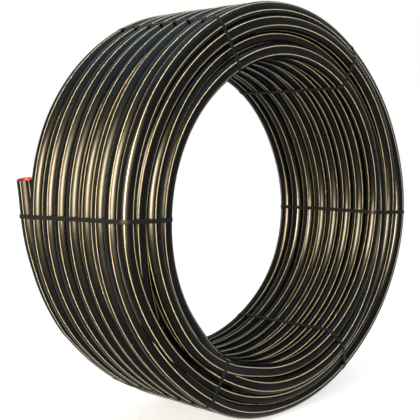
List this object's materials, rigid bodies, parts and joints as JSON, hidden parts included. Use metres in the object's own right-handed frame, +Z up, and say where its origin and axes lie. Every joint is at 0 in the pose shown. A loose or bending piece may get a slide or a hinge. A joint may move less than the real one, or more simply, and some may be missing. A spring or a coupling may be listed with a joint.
{
  "type": "cable duct coil",
  "caption": "Strapped coil of black plastic cable duct with pale stripes, standing on its rim, for laying underground as a path for cables.",
  "frame": {"origin": "on the floor, under the middle of the object's box", "axes": "+Z up, Y along the coil's axis with the near end towards -Y, and the free end of the duct at -X on the +Y side"},
  "size_m": [1.31, 0.5202, 1.2989],
  "materials": {
    "duct": "glossy black polyethylene with thin pale yellow stripes",
    "strap": "embossed black strapping"
  },
  "bodies": {
    "root": {"duct": "duct", "duct_end": "duct", "strap_1": "strap", "strap_2": "strap", "strap_3": "strap", "strap_4": "strap", "strap_5": "strap", "strap_6": "strap"}
  },
  "joints": []
}
